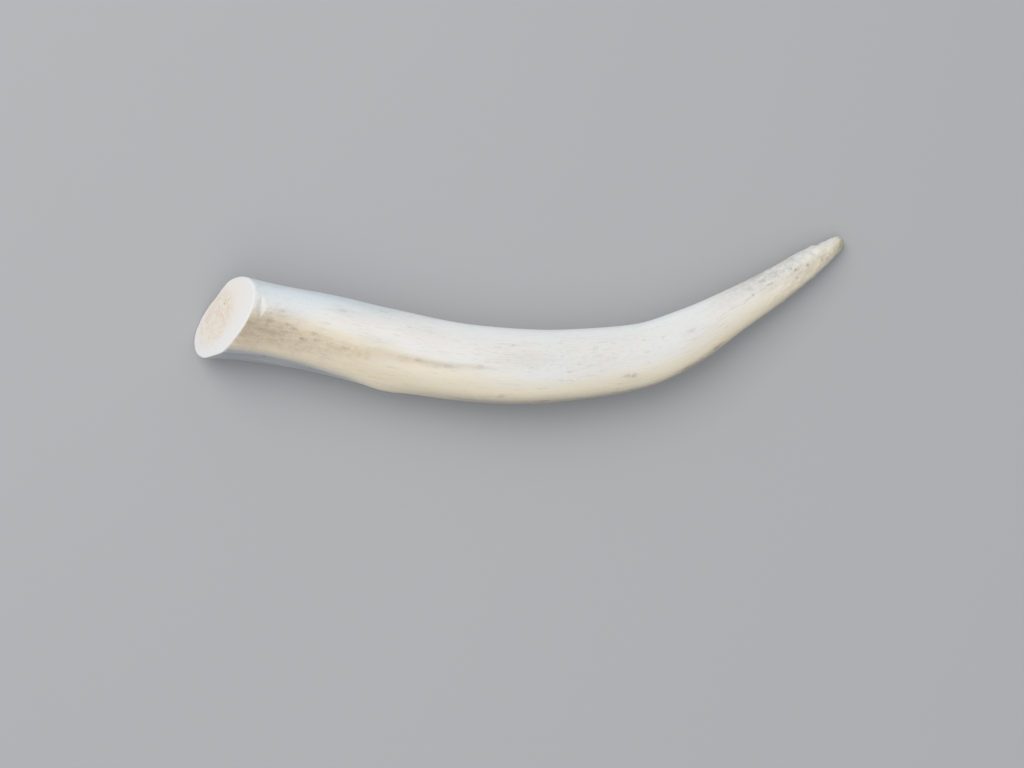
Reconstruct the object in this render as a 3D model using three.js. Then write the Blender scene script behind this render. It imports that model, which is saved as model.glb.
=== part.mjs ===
// One tine of a deer antler, sawn off at its thick end and lying on a flat surface.
// It grew as one piece, so it is one solid. Millimetres, +Z up.
// The tine bends in the horizontal plane: its thick end points to -X and its tip to +X and +Y.

import * as THREE from 'three';
import { mergeVertices } from 'three/addons/utils/BufferGeometryUtils.js';

const DEG = Math.PI / 180;

// Stations from the thick end to the tip. x and y: the middle line, seen from above. halfWidth: across it, level.
// halfHeight: across it, upright. gap: height of the underside over the surface that the tine lies on,
// which is nothing at the three places where it rests: its thick end, the outside of the bend and the tip.
const STATIONS = [
  { x: -95.4, y: 1.6, halfWidth: 13.1, halfHeight: 11.5, gap: 0.3 },
  { x: -75.4, y: -1.9, halfWidth: 11.2, halfHeight: 10.9, gap: 0.3 },
  { x: -55.4, y: -5.5, halfWidth: 11.2, halfHeight: 10.4, gap: 0.45 },
  { x: -37.4, y: -9.6, halfWidth: 11.3, halfHeight: 10.2, gap: 0.35 },
  { x: -17.4, y: -13.1, halfWidth: 10.9, halfHeight: 10.0, gap: 0.05 },
  { x: 2.6, y: -14.3, halfWidth: 10.5, halfHeight: 9.7, gap: 0 },
  { x: 20.6, y: -13, halfWidth: 9.7, halfHeight: 9.1, gap: 0.2 },
  { x: 34.6, y: -10.6, halfWidth: 9.0, halfHeight: 8.3, gap: 0.5 },
  { x: 46.6, y: -5.6, halfWidth: 8.0, halfHeight: 7.4, gap: 0.65 },
  { x: 58.6, y: 1.3, halfWidth: 6.4, halfHeight: 6.2, gap: 0.55 },
  { x: 72.6, y: 9.7, halfWidth: 5.1, halfHeight: 5.0, gap: 0.3 },
  { x: 84.6, y: 17.8, halfWidth: 4.0, halfHeight: 3.8, gap: 0.1 },
  { x: 90.1, y: 21.4, halfWidth: 2.7, halfHeight: 2.7, gap: 0 },
  { x: 93.9, y: 24.2, halfWidth: 1.7, halfHeight: 1.7, gap: 0 },
];
const NOSE_LENGTH = 2.2; // rounded end of the tip

// The saw went through at a slant, so the sawn face looks back along the tine, up and a little to +Y.
const SAW_X = -84.5; // where the saw crosses the middle line
const SAW_BEARING = 160 * DEG; // of the face's outward normal, from +X
const SAW_RISE = 36.5 * DEG; // of the same normal, above level
const RIM_INSET = 0.7; // worn edge round the sawn face
const RIM_DEPTH = 0.8;

// Shallow mark of the saw, which skipped once before it bit. It lies parallel to the face.
const SKIP_SETBACK = 1.9; // from the face to the near side of the mark
const SKIP_WIDTH = 1.1;
const SKIP_DEPTH = 0.6;
const SKIP_SIDE = 62 * DEG; // angle round the tine of the middle of the mark
const SKIP_WALL = 0.15; // run of each of its side walls

// The section is an ellipse, except near the saw cut, where it turns into a leaning oval with three soft corners
// and four slight flats. Each is a share of the radius, with the angle by which it is turned.
const LEAN = 0.105;
const CORNERS = 0.028;
const CORNER_TURN = 11 * DEG;
const FLATS = 0.02;
const FLAT_TURN = 35 * DEG;
const OVAL_FADE = [8, 42]; // distances from the saw cut between which the oval turns into the ellipse

// Knuckle: a low bump on the outside of the bend, which ends more steeply towards the tip.
const KNUCKLE_X = -37.2;
const KNUCKLE_RISE = 0.03; // as a share of the radius
const KNUCKLE_SIDE = 183 * DEG;
const KNUCKLE_SHARPNESS = 14;
const KNUCKLE_RUN_IN = 5;
const KNUCKLE_RUN_OUT = 4;

// Mesh: rings across the tine, each with the same number of points.
const SIDES = 36;
const RING_STEP = 2.4;
const NOSE_RINGS = 7;
const SQUARING = [6, 40]; // distances from the cut between which the rings turn from the saw's slant to square
const NEWTON_STEPS = 8;
const NUDGE = 0.01; // step for measuring a slope along the tine

const FIELDS = ['x', 'y', 'halfWidth', 'halfHeight', 'gap'];
const clamp = THREE.MathUtils.clamp;
const fade = (value, [from, to]) => THREE.MathUtils.smoothstep(value, from, to);

// Distance of each station along the middle line.
const knots = [0];
for (let i = 1; i < STATIONS.length; i += 1) {
  const step = Math.hypot(STATIONS[i].x - STATIONS[i - 1].x, STATIONS[i].y - STATIONS[i - 1].y);
  knots.push(knots[i - 1] + step);
}
const LENGTH = knots.at(-1);

function chordSlope(field, i) {
  return (STATIONS[i + 1][field] - STATIONS[i][field]) / (knots[i + 1] - knots[i]);
}

function stationSlope(field, i) {
  const before = chordSlope(field, Math.max(i - 1, 0));
  const after = chordSlope(field, Math.min(i, STATIONS.length - 2));
  return (before + after) / 2;
}

// A smooth curve through one field of the stations, and its slope, at distance s along the middle line.
function follow(field, s) {
  let i = 0;
  while (i < STATIONS.length - 2 && s > knots[i + 1]) i += 1;
  const span = knots[i + 1] - knots[i];
  const t = (s - knots[i]) / span;
  const start = STATIONS[i][field];
  const end = STATIONS[i + 1][field];
  const slopeIn = stationSlope(field, i) * span;
  const slopeOut = stationSlope(field, i + 1) * span;
  const rise = 3 * (end - start) - 2 * slopeIn - slopeOut;
  const turn = 2 * (start - end) + slopeIn + slopeOut;
  return {
    value: start + t * (slopeIn + t * (rise + t * turn)),
    slope: (slopeIn + t * (2 * rise + t * 3 * turn)) / span,
  };
}

// The middle line at distance s: its centre point, its level direction and its half sizes.
function middle(s) {
  const at = Object.fromEntries(FIELDS.map((field) => [field, follow(field, s)]));
  return {
    centre: new THREE.Vector3(at.x.value, at.y.value, at.gap.value + at.halfHeight.value),
    along: new THREE.Vector3(at.x.slope, at.y.slope, 0).normalize(),
    halfWidth: at.halfWidth.value,
    halfHeight: at.halfHeight.value,
  };
}

function distanceAtX(x) {
  let low = 0;
  let high = LENGTH;
  while (high - low > NUDGE) {
    const half = (low + high) / 2;
    if (follow('x', half).value < x) low = half;
    else high = half;
  }
  return low;
}

const CUT = distanceAtX(SAW_X);
const KNUCKLE = distanceAtX(KNUCKLE_X);

// How far the section stands out from a plain ellipse, as a share of its radius.
// Angles go round the tine from the inside of the bend (0) over the top (90) to the outside (180).
function swell(s, angle) {
  const corners = CORNERS * Math.cos(3 * (angle + CORNER_TURN)) + FLATS * Math.cos(4 * (angle + FLAT_TURN));
  const oval = LEAN * Math.sin(2 * angle) + corners;
  const run = s < KNUCKLE ? KNUCKLE_RUN_IN : KNUCKLE_RUN_OUT;
  const bump = Math.exp(-(((s - KNUCKLE) / run) ** 2));
  const side = ((1 + Math.cos(angle - KNUCKLE_SIDE)) / 2) ** KNUCKLE_SHARPNESS;
  return oval * (1 - fade(s - CUT, OVAL_FADE)) + KNUCKLE_RISE * bump * side;
}

// The point of the surface at distance s along the tine and at an angle round it.
function surface(s, angle) {
  const { centre, along, halfWidth, halfHeight } = middle(s);
  const intoNose = clamp((s - (LENGTH - NOSE_LENGTH)) / NOSE_LENGTH, 0, 1);
  const size = Math.sqrt(1 - intoNose ** 2) * (1 + swell(s, angle));
  const across = new THREE.Vector3(-along.y, along.x, 0);
  const point = centre.clone().addScaledVector(across, halfWidth * size * Math.cos(angle));
  point.z += halfHeight * size * Math.sin(angle);
  return point;
}

const sawNormal = new THREE.Vector3(
  Math.cos(SAW_BEARING) * Math.cos(SAW_RISE),
  Math.sin(SAW_BEARING) * Math.cos(SAW_RISE),
  Math.sin(SAW_RISE),
);

// One ring of points in a plane across the tine, at a distance from the cut. Near the cut the plane
// is parallel to the sawn face, and further along it turns square to the tine.
function ringAt(distance) {
  const { centre, along } = middle(CUT + distance);
  const slant = 1 - fade(distance, SQUARING);
  const normal = along.clone().multiplyScalar(slant - 1).addScaledVector(sawNormal, slant).normalize();
  const height = (s, angle) => surface(s, angle).sub(centre).dot(normal);
  const points = [];
  for (let i = 0; i < SIDES; i += 1) {
    const angle = (i / SIDES) * 2 * Math.PI;
    let s = CUT + distance;
    for (let step = 0; step < NEWTON_STEPS; step += 1) {
      const here = height(s, angle);
      s -= (here * NUDGE) / (height(s + NUDGE, angle) - here);
    }
    points.push(surface(s, angle));
  }
  return { centre, points };
}

// Draws every point of a ring towards its centre by the same distance.
function inset({ centre, points }, distance) {
  const drawn = points.map((point) => {
    const reach = point.distanceTo(centre);
    return point.clone().lerp(centre, distance / reach);
  });
  return { centre, points: drawn };
}

// Cuts a straight, shallow chord off one side of a ring.
function chord({ centre, points }, depth) {
  const outward = middle(CUT);
  const side = new THREE.Vector3(-outward.along.y, outward.along.x, 0).multiplyScalar(Math.cos(SKIP_SIDE));
  side.z = Math.sin(SKIP_SIDE);
  const reaches = points.map((point) => point.clone().sub(centre).dot(side));
  const limit = Math.max(...reaches) - depth;
  const cut = points.map((point, i) => {
    const share = reaches[i] > limit ? limit / reaches[i] : 1;
    return centre.clone().lerp(point, share);
  });
  return { centre, points: cut };
}

// The rings from the sawn face to the tip: the worn rim, the saw's skip mark, the body and the nose.
function rings() {
  const list = [
    inset(ringAt(0), RIM_INSET),
    inset(ringAt(RIM_DEPTH * 0.3), RIM_INSET * 0.3),
    ringAt(RIM_DEPTH),
    ringAt(SKIP_SETBACK),
    chord(ringAt(SKIP_SETBACK + SKIP_WALL), SKIP_DEPTH),
    chord(ringAt(SKIP_SETBACK + SKIP_WIDTH - SKIP_WALL), SKIP_DEPTH),
    ringAt(SKIP_SETBACK + SKIP_WIDTH),
  ];
  const bodyStart = SKIP_SETBACK + SKIP_WIDTH;
  const noseStart = LENGTH - NOSE_LENGTH - CUT;
  const bodySteps = Math.round((noseStart - bodyStart) / RING_STEP);
  for (let i = 1; i <= bodySteps; i += 1) {
    list.push(ringAt(bodyStart + ((noseStart - bodyStart) * i) / bodySteps));
  }
  for (let i = 1; i < NOSE_RINGS; i += 1) {
    list.push(ringAt(noseStart + NOSE_LENGTH * Math.sin((i / NOSE_RINGS) * 90 * DEG)));
  }
  return list;
}

// Joins the rings into one closed skin, with a flat cap on the sawn face and a point at the tip.
function buildTine() {
  const list = rings();
  const positions = [];
  const triangle = (a, b, c) => positions.push(...a, ...b, ...c);
  const next = (i) => (i + 1) % SIDES;
  for (let r = 0; r < list.length - 1; r += 1) {
    const near = list[r].points;
    const far = list[r + 1].points;
    for (let i = 0; i < SIDES; i += 1) {
      triangle(near[i], far[next(i)], far[i]);
      triangle(near[i], near[next(i)], far[next(i)]);
    }
  }

  // The cap: a plain triangle in the middle and strips from it to the rim, so that its centre is one facet.
  const rim = list[0].points;
  const third = SIDES / 3;
  const corners = [0, 1, 2].map((k) => rim[k * third].clone().lerp(list[0].centre, 0.4));
  triangle(corners[0], corners[2], corners[1]);
  for (let k = 0; k < 3; k += 1) {
    const corner = corners[k];
    const following = corners[(k + 1) % 3];
    for (let i = 0; i < third; i += 1) {
      const here = k * third + i;
      const owner = i < third / 2 ? corner : following;
      triangle(owner, rim[next(here)], rim[here]);
    }
    triangle(corner, following, rim[k * third + third / 2]);
  }

  const last = list.at(-1).points;
  const apex = middle(LENGTH).centre;
  for (let i = 0; i < SIDES; i += 1) triangle(last[i], last[next(i)], apex);

  const raw = new THREE.BufferGeometry();
  raw.setAttribute('position', new THREE.Float32BufferAttribute(positions, 3));
  const geometry = mergeVertices(raw, 1e-4);
  geometry.computeVertexNormals();
  return geometry;
}

// Bone-white antler, with the origin under the middle of the tine, on the surface that it lies on.
const antlerMaterial = new THREE.MeshStandardMaterial({ color: 0xdfdcd2, roughness: 0.55, metalness: 0 });
const tineGeometry = buildTine();
tineGeometry.computeBoundingBox();
const box = tineGeometry.boundingBox;
tineGeometry.translate(-(box.min.x + box.max.x) / 2, -(box.min.y + box.max.y) / 2, -box.min.z);

const antler = new THREE.Mesh(tineGeometry, antlerMaterial);
antler.name = 'antler';

const tine = new THREE.Group();
tine.add(antler);

export default tine;
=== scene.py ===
# %% [markdown]
# # One tine of a deer antler
# An antler is bone that a deer grows and sheds in a year. This lesson finishes one tine of it: a smooth,
# pale, bent cone that somebody sawed off its antler at a slant. It grew as one piece, so it stays one mesh.
# The packed CAD model comes first, because it fixes the size and the place of everything that follows.

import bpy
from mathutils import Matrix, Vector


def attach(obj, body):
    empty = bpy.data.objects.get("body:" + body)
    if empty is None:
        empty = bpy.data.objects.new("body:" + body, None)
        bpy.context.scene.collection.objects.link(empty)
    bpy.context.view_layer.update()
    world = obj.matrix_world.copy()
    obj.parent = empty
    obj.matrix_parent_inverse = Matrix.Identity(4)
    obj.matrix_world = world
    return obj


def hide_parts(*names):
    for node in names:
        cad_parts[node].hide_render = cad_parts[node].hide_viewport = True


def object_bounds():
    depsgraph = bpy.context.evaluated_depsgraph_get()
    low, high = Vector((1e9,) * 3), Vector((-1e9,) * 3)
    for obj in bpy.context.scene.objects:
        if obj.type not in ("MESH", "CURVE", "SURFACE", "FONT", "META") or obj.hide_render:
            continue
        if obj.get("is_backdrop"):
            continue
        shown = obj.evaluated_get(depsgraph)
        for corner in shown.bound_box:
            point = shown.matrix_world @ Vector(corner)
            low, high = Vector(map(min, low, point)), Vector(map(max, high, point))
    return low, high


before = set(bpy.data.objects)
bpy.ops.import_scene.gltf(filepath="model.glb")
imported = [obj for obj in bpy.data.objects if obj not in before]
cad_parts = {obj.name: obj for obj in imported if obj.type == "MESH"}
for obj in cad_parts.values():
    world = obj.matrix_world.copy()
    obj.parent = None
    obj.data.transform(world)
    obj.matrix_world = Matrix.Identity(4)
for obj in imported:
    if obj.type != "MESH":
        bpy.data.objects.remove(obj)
CAD_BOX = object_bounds()
print("CAD box in metres:", [tuple(round(number, 4) for number in corner) for corner in CAD_BOX])

# %% [markdown]
# ## Small curves
# Most of what follows is shaped by two curves. A fade climbs smoothly from 0 to 1 between two values, and a
# bell is 1 at a value and falls away on both sides. The work is done in millimetres and degrees, in which an
# antler is easy to think of, and changed to metres once, at the end.

# %% Fades, bells and units
import math
from functools import lru_cache, partial

import bmesh
import bpy
from mathutils import Matrix, Vector, noise

MILLIMETRE = 0.001


def fade(value, start, end):
    """Climbs smoothly from 0 at start to 1 at end. With start above end it falls instead."""
    share = min(max((value - start) / (end - start), 0.0), 1.0)
    return share * share * (3 - 2 * share)


def bell(value, centre, before, after=None):
    """1 at the centre, with its own width on each side of it."""
    width = before if value < centre or after is None else after
    return math.exp(-(((value - centre) / width) ** 2))


def turn_between(turn, other):
    """The angle between two directions round the tine, in degrees, from 0 to 180."""
    return abs((turn - other + 180) % 360 - 180)


print("a fade half way:", fade(5, 0, 10), "and a bell one width out:", round(bell(4, 0, 4), 3))

# %% [markdown]
# ## The middle line
# The tine is a cone bent in one plane, with a section that changes along it. A curve object with a bevel
# could draw it, but it couldn't hold a section that leans and flattens, so the middle line is kept as a
# short list of stations and a smooth curve is run through them. They are the CAD model's own, so the skin
# lies on its solid.

# %% Stations along the tine
# Each station: x, y, half width, half height, and height of the underside over the surface, in millimetres.
STATIONS = [
    (-95.4, 1.6, 13.1, 11.5, 0.3),
    (-75.4, -1.9, 11.2, 10.9, 0.3),
    (-55.4, -5.5, 11.2, 10.4, 0.45),
    (-37.4, -9.6, 11.3, 10.2, 0.35),
    (-17.4, -13.1, 10.9, 10.0, 0.05),
    (2.6, -14.3, 10.5, 9.7, 0),
    (20.6, -13.0, 9.7, 9.1, 0.2),
    (34.6, -10.6, 9.0, 8.3, 0.5),
    (46.6, -5.6, 8.0, 7.4, 0.65),
    (58.6, 1.3, 6.4, 6.2, 0.55),
    (72.6, 9.7, 5.1, 5.0, 0.3),
    (84.6, 17.8, 4.0, 3.8, 0.1),
    (90.1, 21.4, 2.7, 2.7, 0),
    (93.9, 24.2, 1.7, 1.7, 0),
]
NOSE_LENGTH = 2.2  # rounded end of the tip

KNOTS = [0.0]
for here, there in zip(STATIONS, STATIONS[1:]):
    KNOTS.append(KNOTS[-1] + math.hypot(there[0] - here[0], there[1] - here[1]))
LENGTH = KNOTS[-1]


def station_slope(field, i):
    """Mean slope of one field of the stations on the two sides of station i."""
    slopes = []
    for j in (max(i - 1, 0), min(i, len(STATIONS) - 2)):
        slopes.append((STATIONS[j + 1][field] - STATIONS[j][field]) / (KNOTS[j + 1] - KNOTS[j]))
    return sum(slopes) / 2


SLOPES = [[station_slope(field, i) for field in range(5)] for i in range(len(STATIONS))]


def follow(distance):
    """The five station values at a distance along the middle line, and the slopes of x and y."""
    i = 0
    while i < len(STATIONS) - 2 and distance > KNOTS[i + 1]:
        i += 1
    span = KNOTS[i + 1] - KNOTS[i]
    t = (distance - KNOTS[i]) / span
    values, slopes = [], []
    for start, end, slope_in, slope_out in zip(STATIONS[i], STATIONS[i + 1], SLOPES[i], SLOPES[i + 1]):
        rise = 3 * (end - start) - (2 * slope_in + slope_out) * span
        bend = 2 * (start - end) + (slope_in + slope_out) * span
        values.append(start + t * (slope_in * span + t * (rise + t * bend)))
        slopes.append(slope_in * span + t * (2 * rise + t * 3 * bend))
    return values, slopes[:2]


def distance_at(x):
    """Where the middle line passes a value of x, found by halving to a thousandth of a millimetre."""
    low, high = 0.0, LENGTH
    while high - low > 0.001:
        half = (low + high) / 2
        low, high = (half, high) if follow(half)[0][0] < x else (low, half)
    return low


print("middle line:", round(LENGTH, 1), "mm")

# %% [markdown]
# ## The section
# Cut across anywhere, the tine is nearly an ellipse. At its thick end, where it left the antler, it leans
# over and has soft corners, its sawn edge has flats and corners of its own, and a small knuckle stands on
# its outer side. A station list can't say that, so each is a share added to the radius as an angle goes
# round the section.

# %% The skin as a function of distance and angle
SAW_X = -84.5  # where the saw crosses the middle line
CUT = distance_at(SAW_X)
KNUCKLE = distance_at(-37.2)

# Each stands out by a share of the radius, and some at an angle in degrees.
LEAN = 0.105
CORNERS, CORNER_TURN = 0.028, 11
FLATS, FLAT_TURN = 0.02, 35
ROUNDING = (8, 42)  # distances from the cut between which lean, corners and flats fade out
KNUCKLE_RISE, KNUCKLE_TURN = 0.03, 183
KNUCKLE_LENGTHS, KNUCKLE_WIDTH = (5, 3), 30  # millimetres before and after its peak, degrees each side
# Flats and corners of the sawn edge: angle, half width in degrees, share of the radius, and the distances
# from the cut between which it comes in.
SAWN_EDGE = (
    (178, 8, 0.02, 4, -6), (192, 10, 0.03, 4, -6), (228, 16, -0.04, 4, -6), (306, 22, -0.045, 4, -6),
    (338, 9, 0.045, 4, -6), (153, 20, 0.075, 15, 2),
)
SAWN_EDGE_ENDS = 15  # distance from the cut beyond which none of them reaches


def swell(distance, turn):
    """How far the section stands out from an ellipse, as a share of its radius.
    The angle goes from the inside of the bend (0) over the top (90) to the outside (180)."""
    past_cut = distance - CUT
    oval = LEAN * math.sin(math.radians(2 * turn))
    oval += CORNERS * math.cos(math.radians(3 * (turn + CORNER_TURN)))
    oval += FLATS * math.cos(math.radians(4 * (turn + FLAT_TURN)))
    knuckle = bell(distance, KNUCKLE, *KNUCKLE_LENGTHS)
    knuckle *= bell(turn_between(turn, KNUCKLE_TURN), 0, KNUCKLE_WIDTH)
    edge = 0
    if past_cut < SAWN_EDGE_ENDS:
        for place, wide, share, start, full in SAWN_EDGE:
            edge += share * bell(turn_between(turn, place), 0, wide) * fade(past_cut, start, full)
    return oval * (1 - fade(past_cut, *ROUNDING)) + KNUCKLE_RISE * knuckle + edge


@lru_cache(maxsize=16)
def middle(distance):
    """Centre of the section and the direction of the tine there, with its half width and half height."""
    (x, y, half_width, half_height, gap), (x_slope, y_slope) = follow(distance)
    along = Vector((x_slope, y_slope, 0)).normalized()
    return Vector((x, y, gap + half_height)), along, half_width, half_height


def section(distance, turn):
    """How far a point of the skin lies across from the middle line, and how far up."""
    half_width, half_height = middle(distance)[2:]
    into_nose = min(max((distance - LENGTH + NOSE_LENGTH) / NOSE_LENGTH, 0), 1)
    size = math.sqrt(1 - into_nose**2) * (1 + swell(distance, turn))
    angle = math.radians(turn)
    return half_width * size * math.cos(angle), half_height * size * math.sin(angle)


def skin(distance, turn):
    """The point of the plain skin at a distance along the tine and an angle round it."""
    centre, along = middle(distance)[:2]
    across, up = section(distance, turn)
    return centre + Vector((-along.y, along.x, 0)) * across + Vector((0, 0, up))


print("top of the thick end:", [round(number, 1) for number in skin(CUT, 90)])

# %% [markdown]
# ## Rings that start parallel to the saw cut
# The saw went through at a slant. If the mesh had square rings, the cut would slice through hundreds of them
# and leave a ragged edge. So the rings themselves lie parallel to the cut at first, and turn square over the
# next few centimetres. Each of their points slides along the tine until it lies in the ring's plane.

# %% Slanting rings
SAW_BEARING, SAW_RISE = 160, 36.5  # of the sawn face's outward normal, in degrees
SQUARING = (6, 40)  # distances from the cut between which the rings turn square
NUDGE, CLOSE_ENOUGH, MOST_SLIDES = 0.01, 0.0001, 6  # the first two in millimetres
saw_normal = Vector((
    math.cos(math.radians(SAW_BEARING)) * math.cos(math.radians(SAW_RISE)),
    math.sin(math.radians(SAW_BEARING)) * math.cos(math.radians(SAW_RISE)),
    math.sin(math.radians(SAW_RISE)),
))


def slide_to_plane(distance, turn, centre, normal):
    """Slides a point of the skin along the tine until it lies in a plane, and gives its distance."""
    for slide in range(MOST_SLIDES):
        height = (skin(distance, turn) - centre).dot(normal)
        beyond = (skin(distance + NUDGE, turn) - centre).dot(normal)
        distance -= height * NUDGE / (beyond - height)
        if abs(height) < CLOSE_ENOUGH:
            break
    return distance


def ring(past_cut, turns):
    """Centre of the ring at a distance past the cut, and its distance and its point at each angle."""
    centre, along = middle(CUT + past_cut)[:2]
    slant = 1 - fade(past_cut, *SQUARING)
    distances = [CUT + past_cut] * len(turns)
    if slant > 0:
        normal = (saw_normal * slant - along * (1 - slant)).normalized()
        distances = [slide_to_plane(CUT + past_cut, turn, centre, normal) for turn in turns]
    return centre, distances, [skin(distance, turn) for distance, turn in zip(distances, turns)]


print("the sawn face looks towards", [round(number, 3) for number in saw_normal])

# %% [markdown]
# ## Rows of the grid
# One grid makes the whole skin. Its first row is the middle of the sawn face, the next ones spread over the
# face and round its worn rim, then they go down the tine and close at the tip. A grid rolled up like this
# follows the grain everywhere, which a cylinder cut with a boolean wouldn't do, and it has no seam once its
# edges are merged.

# %% Plan the rows
SIDES = 160
RIM_INSET, RIM_DEPTH = 0.85, 1.05
FACE_WEAR = 0.35  # how far the sawn face is worn back at its rim
FACE_ROWS, RIM_ROWS, NOSE_ROWS = 40, 7, 9
FINE_UNTIL, FINE_STEP, STEP = 6.0, 0.14, 0.38  # the rows are close together round the saw's skip mark
NOSE_START = LENGTH - NOSE_LENGTH - CUT


def plan_rows():
    """Each row: distance past the cut, how far it is drawn in from the skin, and its share of the way out."""
    rows = [(0, RIM_INSET, i / FACE_ROWS) for i in range(FACE_ROWS + 1)]
    for i in range(1, RIM_ROWS + 1):
        angle = math.radians(90 * i / RIM_ROWS)
        rows.append((RIM_DEPTH * (1 - math.cos(angle)), RIM_INSET * (1 - math.sin(angle)), 1))
    for start, end, step in ((RIM_DEPTH, FINE_UNTIL, FINE_STEP), (FINE_UNTIL, NOSE_START, STEP)):
        count = round((end - start) / step)
        rows += [(start + (end - start) * i / count, 0, 1) for i in range(1, count + 1)]
    for i in range(1, NOSE_ROWS + 1):
        angle = math.radians(90 * i / NOSE_ROWS)
        rows.append((NOSE_START + NOSE_LENGTH * math.sin(angle), 0, 1))
    return rows


rows = plan_rows()
print(len(rows), "rows of", SIDES, "sides:", 2 * SIDES * (len(rows) - 1), "triangles")

# %% [markdown]
# ## The saw's skip mark
# Before it bit, the saw skipped once and left a shallow nick behind the rim. A blade cuts straight, so the
# nick is a chord across the round skin: deep in the middle and running out at both ends. It slopes in from
# the rim, and its far side is short and starts steeply, where the blade stopped. A boolean could cut it, but
# drawing the points of the rings in a little leaves the grid whole.

# %% Cut the nick
NICK_START, NICK_BOTTOM = 0.9, 2.8  # distances from the cut
NICK_WALL = 1.55  # length of its far side
NICK_BOW, NICK_BOW_WIDTH = 0.75, 13  # how much further on its middle lies, over half how many degrees
NICK_DEPTH, NICK_TURN = 0.55, 81
FRESH_SHARE = 0.009  # of the radius: drawn in by this much, the skin is freshly cut
FRESH_START = (-0.2, 0.1)  # distances from the nick's bottom between which the fresh far side begins


def nick(past_cut, turns, centre, points):
    """The ring's points with a chord taken off one side of it, and how freshly cut each of them is."""
    along = middle(CUT)[1]
    side = Vector((-along.y, along.x, 0)) * math.cos(math.radians(NICK_TURN))
    side.z = math.sin(math.radians(NICK_TURN))
    reaches = [(point - centre).dot(side) for point in points]
    cut_back, fresh_cut = [], []
    for turn, point, reach in zip(turns, points, reaches):
        bottom = NICK_BOTTOM + NICK_BOW * bell(turn_between(turn, NICK_TURN), 0, NICK_BOW_WIDTH)
        up_the_wall = min(max((past_cut - bottom) / NICK_WALL, 0), 1)
        limit = max(reaches) - NICK_DEPTH * fade(past_cut, NICK_START, bottom) * (1 - up_the_wall) ** 3
        share = min(1, limit / reach) if reach > 0 else 1
        cut_back.append(centre.lerp(point, share))
        fresh_cut.append(fade(1 - share, 0, FRESH_SHARE) * fade(past_cut - bottom, *FRESH_START))
    return cut_back, fresh_cut


print("the nick goes", NICK_DEPTH, "mm deep,", NICK_BOTTOM, "mm from the cut")

# %% [markdown]
# ## Rolling the grid up
# Every vertex of the grid gets its place from its row and its column. It also gets a note of where it would
# lie if the tine were straight, in millimetres: how far from the cut, how far across and how far up. Grain,
# hairlines and pores are drawn later in those straightened coordinates, so they follow the bend and meet
# with no seam.

# %% Make the skin
WEAR = (0.6, 1.1)  # shares of the way out between which the sawn face is worn back
RIM_WAVES = ((2.3, 0.5), (7, 0.3))  # how close together they are, and how strong

bm = bmesh.new()
bmesh.ops.create_grid(bm, x_segments=SIDES, y_segments=len(rows) - 1, size=1)
grain = bm.verts.layers.float_vector.new("grain")
turn_of = bm.verts.layers.float.new("turn")
sawn = bm.verts.layers.float.new("sawn")
fresh = bm.verts.layers.float.new("fresh")

turns = [360 * i / SIDES for i in range(SIDES + 1)]
placed = []
for past_cut, inset, share in rows:
    centre, distances, points = ring(past_cut, turns)
    worn_back = -saw_normal * FACE_WEAR * fade(share, *WEAR) * (1 - fade(past_cut, 0, RIM_DEPTH))
    cut_back, fresh_cut = nick(past_cut, turns, centre, points)
    on_face = 1 - fade(past_cut, 0, RIM_DEPTH) if share == 1 else 1
    places = []
    for turn, distance, point, newly in zip(turns, distances, cut_back, fresh_cut):
        way = Vector((math.cos(math.radians(turn)), math.sin(math.radians(turn)), 0))
        worn = inset * sum((strength * noise.noise(way * often) for often, strength in RIM_WAVES), 1)
        out = share * (1 - worn / (point - centre).length) if inset else share
        straight = Vector((past_cut, 0, 0)).lerp((distance - CUT, *section(distance, turn)), out)
        places.append((centre.lerp(point, out) + worn_back, straight, turn, newly, on_face))
    placed.append(places)

for vertex in bm.verts:
    column = round((vertex.co.x + 1) / 2 * SIDES)
    row = round((vertex.co.y + 1) / 2 * (len(rows) - 1))
    vertex.co, vertex[grain], vertex[turn_of], vertex[fresh], vertex[sawn] = placed[row][column]

bmesh.ops.remove_doubles(bm, verts=bm.verts, dist=1e-5)
bmesh.ops.recalc_face_normals(bm, faces=bm.faces)
open_edges = sum(1 for edge in bm.edges if not edge.is_manifold)
print(len(bm.verts), "vertices,", len(bm.faces), "faces,", open_edges, "open edges")

# %% [markdown]
# ## Ridges and waves
# Nothing that grew is quite smooth. The tine has long shallow waves and faint flutes along the grain. A soft
# keel runs along its outer side and ends in the knuckle, and the bend has a low ridge along its outside and
# its inside. A Displace modifier with one texture would do for one of them, but not for all, so each is a
# short function of the straightened coordinates.

# %% Keel, ridges, waves and flutes
KEEL_TURNS = ((0, 141), (12, 145), (24, 148), (38, 153), (50, 180))  # distances, angles of its crest
KEEL_HEIGHT, KEEL_ABOVE, KEEL_BELOW = 0.34, 20, 13
KEEL_ENDS = (44, 52)  # distances from the cut between which it fades out
KNUCKLE_LIFT, KNUCKLE_PEAK = 0.42, 51.1
KNUCKLE_CLIMB, KNUCKLE_DROP, KNUCKLE_SPREAD = 2.2, 4.5, 26  # two lengths, and half a width in degrees
RIDGES = ((150, 0.42, 28, 15), (12, 0.28, 12, 26))  # of the bend: angle, height, half widths before and after
RIDGES_START, RIDGES_END = (54, 80), (140, 180)  # distances from the cut
WAVE_LENGTH, WAVES_ROUND, WAVE_HEIGHT = 17, 1.3, 0.13  # the second is how close they are round the tine
FLUTE_LENGTH, FLUTES_ROUND, FLUTE_HEIGHT = 42, 3.4, 0.07
FLUTE_SHIFT = 9  # takes the flutes from another part of the noise than the waves


def on_polyline(points, value):
    """Straight-line reading of (value, height) points."""
    for (start, low_end), (end, high_end) in zip(points, points[1:]):
        if value <= end:
            return low_end + (high_end - low_end) * max(0, value - start) / (end - start)
    return points[-1][1]


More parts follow.
